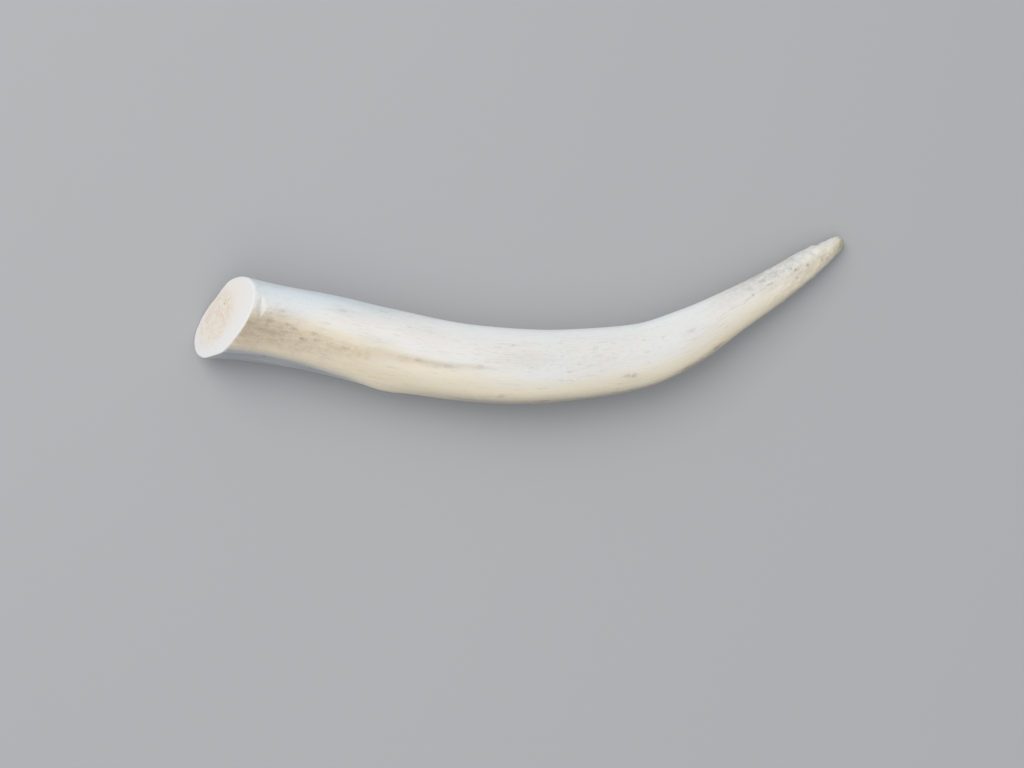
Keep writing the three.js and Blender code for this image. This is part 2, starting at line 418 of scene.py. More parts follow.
def keel(past_cut, turn):
    """A soft corner, gentle above and steep below, that ends in the knuckle, and the ridges of the bend."""
    crest = bell(turn, on_polyline(KEEL_TURNS, past_cut), KEEL_ABOVE, KEEL_BELOW)
    crest *= 1 - fade(past_cut, *KEEL_ENDS)
    from_peak = past_cut - KNUCKLE_PEAK
    knuckle = math.exp(-from_peak / KNUCKLE_DROP if from_peak > 0 else from_peak / KNUCKLE_CLIMB)
    knuckle *= bell(turn, KNUCKLE_TURN, KNUCKLE_SPREAD)
    bend = fade(past_cut, *RIDGES_START) * (1 - fade(past_cut, *RIDGES_END))
    from_top = (turn + 90) % 360 - 90
    ridges = sum(height * bell(from_top, place, before, after) for place, height, before, after in RIDGES)
    return KEEL_HEIGHT * crest + KNUCKLE_LIFT * knuckle + bend * ridges


def waves(straight, turn):
    """Long shallow waves, and flutes along the grain."""
    around = Vector((straight.x / WAVE_LENGTH, math.cos(math.radians(turn)), math.sin(math.radians(turn))))
    along = straight.x / FLUTE_LENGTH + FLUTE_SHIFT
    flutes = Vector((along, FLUTES_ROUND * around.y, FLUTES_ROUND * around.z))
    return WAVE_HEIGHT * noise.noise(around * WAVES_ROUND) + FLUTE_HEIGHT * noise.noise(flutes)


print("the keel is", KEEL_HEIGHT, "mm high and the knuckle", KNUCKLE_LIFT, "mm")

# %% [markdown]
# ## The rubbed tip
# A deer rubs its tines on trees and on the ground, which leaves the tip lumpy. Small pits are worn into it,
# and a few notches and wrinkles run round it. Sculpting could do this, but a written list of places can be
# read and changed. Each pit, notch and wrinkle is a bell of its own, over lumps that come from two noises.

# %% Lumps, wrinkles and pits
RUBBED_FROM, RUBBED_TO = 146, 174  # distances between which the lumps of the tip come in
COARSE_LUMPS = (0.36, 3.0, 2.2)  # height, length along and width round, in millimetres
FINE_LUMPS = (0.2, 1.2, 0.9)
FINE_SHIFT = 5  # takes the fine lumps from another part of the noise
PITS = (  # distance from the cut, angle, half length, half width and depth in millimetres
    (174.8, 94, 0.7, 0.5, 0.34), (171.2, 85, 1.1, 0.45, 0.3), (170.0, 69, 0.8, 0.4, 0.24),
    (169.9, 111, 0.6, 0.5, 0.22), (155.8, 79, 0.55, 0.5, 0.25), (161.7, 77, 1.5, 0.3, 0.14),
    (159.1, 80, 1.4, 0.25, 0.12), (176.4, 164, 0.7, 0.6, 0.25), (165.4, 48, 1.0, 0.6, 0.14),
    (160.9, 52, 0.9, 0.5, 0.14), (178.6, 72, 0.8, 0.9, 0.26), (183.0, 78, 0.5, 0.8, 0.2),
    (180.2, 112, 0.8, 0.8, 0.24), (185.2, 110, 0.5, 0.7, 0.2),
)
# Notches: distance from the cut, angle, half length and depth in millimetres.
NOTCHES = ((181.8, 0, 0.9, 0.4), (178.0, 5, 0.8, 0.12), (185.0, 18, 0.8, 0.15))
NOTCH_WIDTH = 50  # half of it, in degrees
# Wrinkles: distance from the cut where they cross the top, height, half length in millimetres.
WRINKLES = ((176.0, -0.08, 0.8), (178.2, 0.21, 0.7), (180.0, -0.18, 0.9), (183.4, 0.12, 0.6))
WRINKLE_SLANT = 0.03  # how far a wrinkle moves towards the tip with each degree
WRINKLE_TURN, WRINKLE_WIDTH = 100, 45
TOP = 90  # angle of the top of the tine


def lumpy(straight, size, shift=0):
    """One noise of lumps."""
    height, length, width = size
    return height * noise.noise(Vector((straight.x / length + shift, straight.y / width, straight.z / width)))


def lumps(straight, turn):
    """Lumps and wrinkles of the tip, strongest on its upper side."""
    rubbed = fade(straight.x, RUBBED_FROM, RUBBED_TO) * (0.45 + 0.55 * bell(turn_between(turn, TOP), 0, 70))
    if rubbed == 0:
        return 0
    wrinkled = 0
    for past_cut, height, half_length in WRINKLES:
        wrinkled += height * bell(straight.x - WRINKLE_SLANT * (turn - TOP), past_cut, half_length)
    wrinkled *= bell(turn, WRINKLE_TURN, WRINKLE_WIDTH)
    return rubbed * (lumpy(straight, COARSE_LUMPS) + lumpy(straight, FINE_LUMPS, FINE_SHIFT) + wrinkled)


def dents(straight, turn, radius):
    """Depth of the pits and notches."""
    depth = 0
    for past_cut, place, half_length, half_width, deep in PITS:
        around = math.radians(turn_between(turn, place)) * radius / half_width
        depth += deep * bell(math.hypot((straight.x - past_cut) / half_length, around), 0, 1)
    for past_cut, place, half_length, deep in NOTCHES:
        around = bell(turn_between(turn, place), 0, NOTCH_WIDTH)
        depth += deep * bell(straight.x, past_cut, half_length) * around
    return depth


print(len(PITS), "pits,", len(NOTCHES), "notches and", len(WRINKLES), "wrinkles")

# %% [markdown]
# ## Pushing the relief out
# The relief is added up and pushed along the normals, which are taken before any point has moved. The sawn
# face keeps its flatness, and right at the tip, where all sides meet, the relief fades out.

# %% Push the relief out
CLOSED_TIP = (0, 0.6)  # distances from the middle of the tip between which the relief comes in

bm.normal_update()
relief = []
for vertex in bm.verts:
    straight, turn = vertex[grain], vertex[turn_of]
    radius = straight.yz.length
    height = keel(straight.x, turn) + waves(straight, turn) + lumps(straight, turn)
    height -= dents(straight, turn, radius)
    at_tip = fade(radius, *CLOSED_TIP) if straight.x > NOSE_START else 1
    relief.append(height * (1 - vertex[sawn]) * at_tip)
for vertex, height in zip(bm.verts, relief):
    vertex.co += vertex.normal * height
print("relief from", round(min(relief), 2), "to", round(max(relief), 2), "mm")

# %% [markdown]
# ## Setting it down
# The CAD model's origin is on the surface that it lies on, under the middle of its box. The skin was drawn
# from the same stations, so it goes into the middle of that box. In a direction where the relief has made it
# a trace too large, it is drawn in by that trace and a hair.

# %% Fit the skin to the CAD box
HAIR = 0.02  # gap left on each side, in millimetres

cad_low, cad_high = (Vector(corner) / MILLIMETRE for corner in CAD_BOX)
low = Vector(min(vertex.co[axis] for vertex in bm.verts) for axis in range(3))
high = Vector(max(vertex.co[axis] for vertex in bm.verts) for axis in range(3))
squeeze = Vector(min(1, (cad_high[i] - cad_low[i] - 2 * HAIR) / (high[i] - low[i])) for i in range(3))
bmesh.ops.translate(bm, verts=bm.verts, vec=-(low + high) / 2)
bmesh.ops.scale(bm, verts=bm.verts, vec=squeeze)
bmesh.ops.translate(bm, verts=bm.verts, vec=(cad_low + cad_high) / 2)
print("drawn in to", [round(share, 4) for share in squeeze], "of its size")

# %% [markdown]
# ## Stains, painted by code
# The outside of the antler isn't one white. Sap has stained it tan near the cut, with soil ground into the
# tan. Grey has settled in the roughness towards the tip, and the last few millimetres are brown. Vertex
# paint is the tool for soft stains like these. Here each dab is written down: where it is, how long, how
# wide and how strong, and the shader roughens its edges later.

# %% Dabs of stain
# Each dab: distance from the cut, angle, half length in millimetres, half width in degrees, strength.
TAN_DABS = (
    (6, 116, 9, 28, 1.0), (15, 104, 9, 20, 0.8), (22, 114, 10, 24, 0.6), (31, 108, 8, 15, 0.4),
    (11, 96, 5, 10, 0.6), (39, 108, 7, 10, 0.4), (47, 101, 7, 7, 0.35), (56, 102, 6, 5, 0.45),
    (64, 102, 6, 4, 0.4), (71, 98, 6, 3, 0.35), (34, 128, 18, 16, 0.15), (1, 97, 6, 16, 0.6),
    (17, 84, 8, 12, 0.3), (86, 83, 9, 11, 0.2), (43, 86, 6, 9, 0.2), (161, 84, 6, 14, 0.18),
    (163, 140, 7, 14, 0.18), (12, 88, 4, 8, 0.3), (114, 131, 5, 8, 0.15), (175, 112, 5, 18, 0.15),
    (93, 147, 8, 8, 0.15), (80, 150, 6, 6, 0.12),
)
SOIL_DABS = ((9.5, 99, 5.5, 15, 0.5), (3, 118, 5, 20, 0.12))
GREY_DABS = (
    (161, 48, 7, 24, 0.9), (167, 56, 6, 24, 1.0), (152, 50, 8, 20, 0.5), (174, 40, 5, 26, 0.5),
    (134, 82, 3, 8, 0.5), (98, 80, 26, 30, 0.4), (6, 62, 4, 30, 0.5), (33, 53, 3, 7, 0.4),
    (43, 35, 7, 14, 0.35), (160, 20, 9, 22, 0.95), (170, 22, 8, 24, 0.9), (182, 10, 6, 30, 0.6),
    (170, 88, 6, 18, 0.3), (8, 30, 6, 10, 0.4), (24, 26, 8, 9, 0.3), (1.5, 84, 2.2, 18, 0.6),
    (17, 70, 7, 10, 0.35), (12, 57, 7, 12, 0.25), (13.5, 76, 5, 9, 0.35),
)
BROWN_DABS = (
    (187.2, 128, 1.8, 40, 0.9), (189.2, 100, 1.1, 180, 0.8), (187.0, 50, 1.4, 26, 0.2),
    (184.5, 122, 3.5, 18, 0.3), (181, 118, 3.5, 26, 0.3), (174, 102, 6, 20, 0.18), (129.3, 154, 3, 8, 0.6),
    (134.9, 152, 3, 8, 0.4), (139.2, 148, 2.5, 7, 0.5), (90, 160, 8, 8, 0.4), (104, 180, 10, 9, 0.4),
    (116, 166, 5, 7, 0.35), (143, 148, 6, 12, 0.15),
)
PALE_DABS = (  # where the cream is thin
    (48, 110, 6, 9, 0.3), (59, 117, 7, 10, 0.35), (77, 126, 8, 8, 0.3), (134, 111, 7, 12, 0.3),
)


def dab(straight, turn, stroke):
    """How strongly one dab stains a point."""
    past_cut, place, half_length, half_width, strength = stroke
    along = (straight.x - past_cut) / half_length
    around = turn_between(turn, place) / half_width
    return strength * math.exp(-(along * along + around * around))


def dabs(straight, turn, strokes):
    """How strongly many dabs stain a point: each one stains what the others have left."""
    left = 1.0
    for stroke in strokes:
        left *= 1 - dab(straight, turn, stroke)
    return 1 - left


print("dabs:", sum(len(strokes) for strokes in (TAN_DABS, SOIL_DABS, GREY_DABS, BROWN_DABS, PALE_DABS)))

# %% [markdown]
# ## Broad tones and painted shade
# Five tones are too long for dabs. A cream band follows the outer side, partly a cream stain and partly
# painted warm light, and below the keel the bone is slate grey, a slate stain with painted shade over it.
# The outside of the bend is darkened with painted shade where it turns under. The inside is bluish towards
# the thick end, partly the bone's own tone and partly painted cool sky light, and whiter and cooler further
# on. Each tone fades between two angles, and between two distances from the cut.

# %% Cream and warm light, slate and shade, painted shade, bluish tone and sky light, whiter inside
# Distance from the cut, with the angle of the cream band's upper edge and with half the angle it fades over.
CREAM_EDGES = (
    (0, 80), (12, 80), (30, 85), (50, 95), (65, 104), (78, 114), (92, 124),
    (111, 119), (129, 119), (149, 109), (167, 93), (178, 82), (190, 58),
)
CREAM_SOFTNESS = ((0, 13), (60, 13), (78, 24), (95, 19), (115, 18), (130, 28), (150, 40), (170, 50))
SLATE_SOFTNESS = 10  # degrees over which the slate stain and its painted shade come in at the cut
SLATE_SOFTENING = 0.2  # degrees more with each millimetre
FAINT_SLATE = 0.5  # strength of the slate stain and its painted shade on the rest of the underside
COLD_REACH, COLD_REACH_AT_CUT = 66, 86  # degrees from the inside of the bend that the bluish tone and its painted cool sky light reach


def cream_band(straight, turn):
    """The cream band of the outer side, partly a cream stain and partly painted warm light: wide at the thick
    end, narrow in the bend, wide again at the tip.
    """
    edge = on_polyline(CREAM_EDGES, straight.x)
    soft = on_polyline(CREAM_SOFTNESS, straight.x)
    from_top = turn if turn < 270 else turn - 360
    band = fade(from_top, edge - soft, edge + soft) * (1 - 0.5 * fade(from_top, 215, 250))
    return band * (1 - 0.15 * fade(straight.x, 160, 175)) * (1 - dabs(straight, turn, PALE_DABS))


def slate_stain_and_shade(straight, turn):
    """A slate stain with painted shade over it below the keel, strong up to the knuckle and faint along the
    rest of the underside.
    """
    crest = on_polyline(KEEL_TURNS, straight.x)
    soft = SLATE_SOFTNESS + SLATE_SOFTENING * straight.x
    thick_end = fade(turn, crest - soft, crest + soft) * (1 - fade(straight.x, 26, 56))
    thick_end *= (0.75 + 0.25 * fade(straight.x, -5, 6)) * (1 - 0.08 * fade(straight.x, 10, 22))
    return max(thick_end, FAINT_SLATE * fade(turn, 160, 190)) * (1 - fade(turn, 250, 310))


def dull_edge(straight, turn):
    """Painted shade: a warm grey darkening along the outside of the bend, where the tine turns under."""
    return fade(turn, 134, 164) * (1 - fade(turn, 230, 290)) * fade(straight.x, 46, 72)


def cold_side(straight, turn):
    """The bluish inside of the bend, partly the bone's own tone and partly painted cool sky light, widest and
    strongest towards the thick end.
    """
    reach = COLD_REACH_AT_CUT + (COLD_REACH - COLD_REACH_AT_CUT) * fade(straight.x, 18, 46)
    return fade(turn_between(turn, 0), reach, 24) * (1 - fade(straight.x, 24, 72))


def bleached_side(straight, turn):
    """The whiter inside of the bend further on."""
    return fade(turn_between(turn, 5), 62, 22) * fade(straight.x, 30, 66) * (1 - fade(straight.x, 136, 158))


print("cream from", CREAM_EDGES[0][1], "degrees at the cut and", CREAM_EDGES[-1][1], "at the tip")

# %% [markdown]
# ## Painting
# Each stain, tone and painted shade gets a vertex layer of its own with its strength from 0 to 1, so the
# shader can give each one its own colour. One layer of finished colour would be simpler, but its stains could
# have no fine edges.

# %% Paint the stains, tones and painted shade
STAINS = {"tan": TAN_DABS, "soil": SOIL_DABS, "grey": GREY_DABS, "brown": BROWN_DABS}
painters = {name: partial(dabs, strokes=strokes) for name, strokes in STAINS.items()}
painters.update(cream=cream_band, slate=slate_stain_and_shade, dull=dull_edge, cold=cold_side, bleached=bleached_side)
for name, painter in painters.items():
    layer = bm.verts.layers.float.new(name)
    for vertex in bm.verts:
        vertex[layer] = painter(vertex[grain], vertex[turn_of])
print("painted:", ", ".join(painters))

# %% [markdown]
# ## The finished piece
# The mesh is scaled to metres in its vertices, so that its object can stay at the origin, unturned and
# unscaled. It takes the place of the CAD solid, which stays behind for collision only.

# %% Put the tine in the scene
bmesh.ops.scale(bm, verts=bm.verts, vec=(MILLIMETRE,) * 3)
for face in bm.faces:
    face.smooth = True
mesh = bpy.data.meshes.new("antler_tine")
bm.to_mesh(mesh)
bm.free()
tine = bpy.data.objects.new("antler_tine", mesh)
bpy.context.scene.collection.objects.link(tine)
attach(tine, "root")
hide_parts("antler")
print("tine:", [round(number, 4) for number in tine.dimensions], "m")

# %% [markdown]
# ## Shader maths in Python
# A material with many layers is hard to read as a net of nodes. A small class wraps a socket, so that a sum
# or a product of two wires adds its Math node by itself, and one method makes every other kind of node.

# %% Wires
class Wire:
    """An output socket that can be used in sums. Any other node comes from make()."""

    def __init__(self, tree, socket=None):
        self.tree = tree
        self.socket = socket

    def make(self, kind, settings=None, inputs=None, output=0):
        """Adds a node, sets it up, feeds its sockets with values or wires, and gives one of its outputs."""
        node = self.tree.nodes.new(kind)
        for name, value in (settings or {}).items():
            setattr(node, name, value)
        for name, value in (inputs or {}).items():
            if isinstance(value, Wire):
                self.tree.links.new(value.socket, node.inputs[name])
            else:
                node.inputs[name].default_value = value
        return Wire(self.tree, node.outputs[output])

    def maths(self, operation, first, second=0.0, clamp=False):
        """A Math node."""
        settings = {"operation": operation, "use_clamp": clamp}
        return self.make("ShaderNodeMath", settings, {0: first, 1: second})

    def __add__(self, other):
        return self.maths("ADD", self, other)

    def __sub__(self, other):
        return self.maths("SUBTRACT", self, other)

    def __rsub__(self, other):
        return self.maths("SUBTRACT", other, self)

    def __mul__(self, other):
        return self.maths("MULTIPLY", self, other)

    __radd__, __rmul__ = __add__, __mul__

    def clamped(self):
        """This value, held between 0 and 1."""
        return self.maths("ADD", self, 0.0, clamp=True)

    def fade(self, start, end):
        """Climbs smoothly from 0 at start to 1 at end, and falls if start is above end."""
        low, high = min(start, end), max(start, end)
        rising = {"Value": self, "From Min": low, "From Max": high}
        rising.update({"To Min": float(start > end), "To Max": float(start < end)})
        return self.make("ShaderNodeMapRange", {"interpolation_type": "SMOOTHSTEP"}, rising)

    def vectors(self, operation, *others, output=0):
        """Vector Math on these coordinates. Its output 1 is a number, such as a length."""
        inputs = dict(enumerate((self, *others)))
        return self.make("ShaderNodeVectorMath", {"operation": operation}, inputs, output)

    def stretched(self, *scale):
        """These coordinates, multiplied by a scale of their own along, across and up."""
        return self.vectors("MULTIPLY", scale)

    def speckle(self, scale=1.0, detail=2.0, roughness=0.5):
        """Soft noise from 0 to 1 over these coordinates."""
        inputs = {"Vector": self, "Scale": scale, "Detail": detail, "Roughness": roughness}
        return self.make("ShaderNodeTexNoise", None, inputs)

    def towards(self, colour, amount):
        """This colour, mixed towards another by an amount from 0 to 1."""
        second = colour if isinstance(colour, Wire) else (*colour, 1.0)
        return self.make("ShaderNodeMix", {"data_type": "RGBA"}, {0: amount, 6: self, 7: second}, output=2)

    def far_from(self, place):
        """Distance from a place, in these coordinates."""
        return self.vectors("DISTANCE", place, output=1)


def new_material(name):
    """A material with its Principled shader, and a wire to build the rest from."""
    material = bpy.data.materials.new(name)
    material.use_nodes = True
    return material, material.node_tree.nodes["Principled BSDF"], Wire(material.node_tree)


def painted(wire, name):
    """The vertex paint of one name, as a wire."""
    return wire.make("ShaderNodeAttribute", {"attribute_name": name}, output=2)


print("besides sums, a wire has:", ", ".join(name for name in vars(Wire) if not name.startswith("_")))

# %% [markdown]
# ## Separate marks
# Besides its stains the tine carries small dark marks: dots, short brown marks where soil sits in a pit, and
# thin grey ones along the grain. An image would hold them, but it would have to be unwrapped and drawn. Here
# each mark is a place in the straightened coordinates, and the shader darkens what is near to it.

# %% Marks
# Sorted by half length and half width in millimetres. Each mark: distance from the cut, angle, strength.
DOTS = {
    (0.5, 0.42): (
        (13.6, 156, 0.9), (11.1, 166, 0.4), (26.8, 161, 0.7), (174.8, 94, 0.45), (155.8, 79, 0.38),
        (169.9, 111, 0.3), (170.0, 69, 0.4),
    ),
}
BROWN_MARKS = {
    (1.3, 0.5): (
        (14.3, 90, 0.65), (21.0, 95, 0.65), (23.8, 107, 0.75), (27.7, 105, 0.55), (26.6, 96, 0.4),
        (19.7, 90, 0.45), (17.4, 73, 0.35), (13.5, 80, 0.35), (36.3, 106, 0.3), (39.7, 111, 0.2),
        (42.2, 114, 0.2), (55.9, 101, 0.2), (91.0, 157, 0.9), (129.0, 153, 0.75), (138.9, 147, 0.6),
        (171.1, 85, 0.6),
    ),
    (1.0, 0.8): (
        (73.2, 98, 0.25), (79.2, 143, 0.35), (113.5, 122, 0.4), (115.3, 125, 0.45), (174.8, 93, 0.3),
    ),
    (2.2, 0.25): (
        (16.2, 106, 0.55), (52.1, 107, 0.25), (161.7, 76, 0.5), (159.1, 79, 0.4), (156.6, 79, 0.25),
        (154.3, 82, 0.3), (152.4, 84, 0.3), (150.0, 84, 0.3), (148.3, 83, 0.35), (146.1, 84, 0.3),
        (170.4, 87, 0.45), (172.6, 84, 0.35), (166.2, 101, 0.25), (143.4, 86, 0.25), (102.2, 160, 0.6),
        (106.0, 158, 0.6), (111.0, 158, 0.55), (115.2, 156, 0.5), (89.4, 156, 0.5), (130.8, 155, 0.5),
        (133.0, 152, 0.4),
    ),
}
GREY_MARKS = {
    (0.8, 0.35): (
        (100.4, 93, 0.6), (97.6, 104, 0.45), (105.3, 69, 0.45), (110.6, 63, 0.45), (114.2, 57, 0.4),
        (120.2, 65, 0.5), (119.9, 88, 0.5), (125.9, 70, 0.35), (106.1, 108, 0.35), (95.6, 54, 0.35),
        (119.4, 107, 0.35), (110.3, 146, 0.4), (51.9, 54, 0.35), (82.0, 60, 0.4), (155.5, 57, 0.5),
    ),
    (1.5, 0.6): (
        (64.4, 103, 0.35), (60.8, 106, 0.3), (32.8, 53, 0.35), (43.5, 33, 0.4), (165.4, 48, 0.35),
        (160.9, 52, 0.35), (134.2, 82, 0.35),
    ),
    (2.0, 0.25): (
        (77.9, 65, 0.5), (87.0, 95, 0.45), (96.2, 117, 0.5), (90.4, 128, 0.4), (57.1, 55, 0.35),
    ),
}
MARK_EDGE = (1.35, 0.25)  # shares of its size between which a mark comes in


def marked(place, marks):
    """How dark the marks make a place: the darkest of them counts."""
    darkest = 0.0
    for (half_length, half_width), spots in marks.items():
        squeeze = Vector((1 / half_length, 1 / half_width, 1 / half_width))
        squeezed = place.stretched(*squeeze)
        for past_cut, turn, strength in spots:
            away = squeezed.far_from(Vector((past_cut, *section(CUT + past_cut, turn))) * squeeze)
            darkest = place.maths("MAXIMUM", darkest, away.fade(*MARK_EDGE) * strength)
    return darkest


print("marks:", sum(len(spots) for marks in (DOTS, BROWN_MARKS, GREY_MARKS) for spots in marks.values()))

# %% [markdown]
# ## The colour of the weathered outside
# Seen close, the white outside is made of fibres that run along the tine. Three noises draw them, each
# stretched along the grain: broad streaks, hairlines and short dashes. The stains go over the white in the
# order in which they came, and each is broken up by a noise, because a stain soaks in along the fibres. Among
# them are painted light and shade: warm light in the cream band, cool sky light in the bluish tint, and shade
# in the slate and under the bend. The marks come last, with edges that one more noise makes ragged.

# %% Outside colour
WHITE = (0.81, 0.795, 0.76)
# bluish white: partly the bone's own tone, partly painted cool sky light
BLUISH_WHITE_AND_SKY_LIGHT = (0.68, 0.785, 0.86)
PINKISH = (0.78, 0.71, 0.67)
COOL_WHITE = (0.85, 0.87, 0.87)
# cream: partly a cream stain, partly painted warm light
CREAM_STAIN_AND_WARM_LIGHT = (0.86, 0.755, 0.565)
TAN = (0.50, 0.415, 0.31)
# slate: a slate stain with painted shade over it
SLATE_STAIN_AND_SHADE = (0.29, 0.335, 0.41)
GREY = (0.41, 0.405, 0.375)
UMBER = (0.25, 0.17, 0.10)
OLIVE = (0.30, 0.31, 0.18)
SOIL = (0.30, 0.235, 0.16)
# painted shade where the tine turns under
PAINTED_SHADE_GREY = (0.335, 0.32, 0.285)
FIBRE_RADIUS = 9  # of the cylinder that the fibres are drawn on, in millimetres
WANDER = Vector((2.4, 1.5, 1.5))  # how far the marks' edges are pulled about, along, across and up


def fibres_of(place):
    """The same place, moved out to a cylinder, on which the fibres run straight from the cut to the tip."""
    outward = place.stretched(0, 1, 1).vectors("NORMALIZE")
    return outward.vectors("MULTIPLY_ADD", (0, FIBRE_RADIUS, FIBRE_RADIUS), place.stretched(1, 0, 0))


def outside_colour(wire, place):
    """The white of the bone with its stains, its painted light and shade, and its marks over it."""
    fibre = fibres_of(place)
    streaks = fibre.stretched(0.05, 0.9, 0.9).speckle(detail=3)
    hairlines = fibre.stretched(0.15, 2.6, 2.6).speckle(detail=3, roughness=0.65).fade(0.5, 0.7)
    dashes = fibre.stretched(0.4, 2.8, 2.8).speckle(detail=2).fade(0.6, 0.76)
    smudges = fibre.stretched(0.42, 0.75, 0.75).speckle(detail=5, roughness=0.72).fade(0.4, 0.66)
    crumbs = fibre.stretched(0.8, 2.1, 2.1).speckle(detail=4, roughness=0.7).fade(0.44, 0.68)
    patches = fibre.stretched(0.06, 0.11, 0.11).speckle(detail=1)
    grime = place.stretched(0.7, 1.1, 1.1).speckle(detail=4, roughness=0.7).fade(0.4, 0.7)
    soak = streaks.fade(0.3, 0.68)

    colour = wire.make("ShaderNodeRGB")
    colour.socket.default_value = (*WHITE, 1)
    colour = colour.towards(PINKISH, patches.fade(0.5, 0.72) * 0.25)
    # Bluish tint: partly the bone's own tone, partly painted cool sky light, with random cool patches.
    coldness = painted(wire, "cold") * 0.75 + patches.fade(0.5, 0.3) * 0.1
    colour = colour.towards(BLUISH_WHITE_AND_SKY_LIGHT, coldness.clamped())
    colour = colour.towards(COOL_WHITE, painted(wire, "bleached") * 0.9)
    # The cream band: partly a cream stain, partly painted warm light.
    colour = colour.towards(CREAM_STAIN_AND_WARM_LIGHT, painted(wire, "cream") * (soak * 0.27 + 0.77))
    colour = colour.towards(TAN, (painted(wire, "tan") * (soak * 0.14 + smudges * 0.26 + 0.67)).clamped())
    colour = colour.towards(SOIL, painted(wire, "tan") * (smudges * 0.13 + crumbs * 0.14))
    colour = colour.towards(SOIL, painted(wire, "soil") * (smudges * 0.35 + crumbs * 0.15 + 0.65))
    # Painted shade along the outside of the bend where the tine turns under, darkest at its edge.
    dullness = painted(wire, "dull") * (smudges * 0.14 + 0.46)
    colour = colour.towards(PAINTED_SHADE_GREY, dullness + painted(wire, "dull").fade(0.8, 1.0) * 0.12)
    # Slate stain with painted shade over it, below the keel and along the underside.
    colour = colour.towards(SLATE_STAIN_AND_SHADE, painted(wire, "slate") * (soak * 0.25 + 0.67))
    colour = colour.towards(GREY, painted(wire, "grey") * (grime * 0.45 + 0.18))
    colour = colour.towards(SOIL, hairlines * patches.fade(0.3, 0.6) * 0.16)
    colour = colour.towards(GREY, dashes * 0.26)
    tip_stain = colour.towards(UMBER, 1.0).towards(OLIVE, place.speckle(0.5, 1).fade(0.45, 0.6))
    tip_amount = painted(wire, "brown") * place.speckle(1.1, 3, 0.6).fade(0.25, 0.5) * 0.85
    colour = colour.towards(tip_stain, tip_amount)
    wander = place.make("ShaderNodeTexNoise", None, {"Vector": place, "Scale": 1.4, "Detail": 3.0}, output=1)
    crumbled = wander.vectors("MULTIPLY_ADD", WANDER, place).vectors("SUBTRACT", WANDER / 2)
    broken = crumbs * 0.6 + 0.55
    colour = colour.towards(SOIL, marked(place, DOTS))
    colour = colour.towards(SOIL, (marked(crumbled, BROWN_MARKS) * broken).clamped())
    return colour.towards(GREY, (marked(crumbled, GREY_MARKS) * broken).clamped())


print("the plain bone reflects", WHITE, "of red, green and blue")

# %% [markdown]
# ## The colour of the sawn face
# The cut lays open how antler is built: a dense white wall round a core that is warm and full of fine pores.
# The core isn't in the middle, because the wall is thickest on the upper side. Both are drawn in the
# straightened coordinates, so that the pores are tubes along the tine and the slanting cut shows them as
# small ovals.

# %% Sawn face colour
RING_WHITE = (0.83, 0.82, 0.81)
CORE_CREAM = (0.87, 0.80, 0.73)
CORE_TAN = (0.75, 0.635, 0.50)
PORE = (0.40, 0.31, 0.22)
CORE_CENTRE, CORE_REACH = (-0.7, -3.2), (8.6, 7.0)  # across and up
HALO_CENTRE, HALO_REACH = (2.0, -0.5), (9.5, 8.5)  # of the faint warm tone round the core
PINHOLES = (  # across, up, strength
    (3.5, -1.8, 0.9), (2.0, -1.7, 0.45), (4.8, -0.6, 0.4), (1.7, -3.0, 0.35),
    (4.4, -1.8, 0.35), (2.6, -4.0, 0.35), (0.9, -5.2, 0.3), (0.4, 1.7, 0.25),
    (-2.4, -2.3, 0.25), (-4.0, -5.7, 0.25), (-6.8, -2.5, 0.25),
)
PINHOLE_EDGE = (0.38, 0.1)  # millimetres from its middle between which a pinhole darkens


def core_mask(place, centre=CORE_CENTRE, half_axes=CORE_REACH):
    """1 in the porous core, and 0 in the dense wall round it."""
    scaled = place.vectors("SUBTRACT", (0, *centre)).stretched(0, 1 / half_axes[0], 1 / half_axes[1])
    reach = scaled.vectors("LENGTH", output=1)
    ragged = place.stretched(0.3, 1, 1).speckle(0.45, 4, 0.65) * 0.6 - 0.3
    return (reach + ragged).fade(1.25, 0.62)


def face_pores(place):
    """1 inside the fine pores of the core."""
    return place.stretched(0.45, 1.9, 1.9).speckle(detail=3, roughness=0.7).fade(0.52, 0.74)


def face_pinholes(place):
    """1 inside the few open pinholes."""
    flattened = place.stretched(0, 1, 1)
    darkest = 0.0
    for across, up, strength in PINHOLES:
        away = flattened.far_from((0, across, up))
        darkest = place.maths("MAXIMUM", darkest, away.fade(*PINHOLE_EDGE) * strength)
    return darkest


def face_colour(wire, place):
    """The dense wall, with the warm core and its pores in it."""
    core = core_mask(place)
    mottle = place.stretched(0.3, 0.5, 0.5).speckle(detail=6, roughness=0.72).fade(0.38, 0.66)
    colour = wire.make("ShaderNodeRGB")
    colour.socket.default_value = (*RING_WHITE, 1)
    colour = colour.towards(CORE_CREAM, core_mask(place, HALO_CENTRE, HALO_REACH) * 0.6)
    colour = colour.towards(CORE_CREAM, core)
    colour = colour.towards(CORE_TAN, core * (mottle * 0.58 + 0.08))
    colour = colour.towards(PORE, core * face_pores(place) * 0.28)
    return colour.towards(PORE, face_pinholes(place))


print("the core is", 2 * CORE_REACH[0], "by", 2 * CORE_REACH[1], "mm, with", len(PINHOLES), "open pinholes")

# %% [markdown]
# ## One material
# Both finishes go into one material, because the worn rim passes from one to the other with no line between.
# Two materials would meet at an edge. The outside has the dull sheen of handled bone, and the sawn face is
# matt. Light goes a little way into bone, which a small subsurface weight gives. Fibres and pores too fine
# for the mesh are a bump.

# %% Antler bone
BUMP_DEPTH = 0.12 * MILLIMETRE  # height of the fibres and pores
LIGHT_DEPTH = 1.5 * MILLIMETRE  # how far light goes into the bone

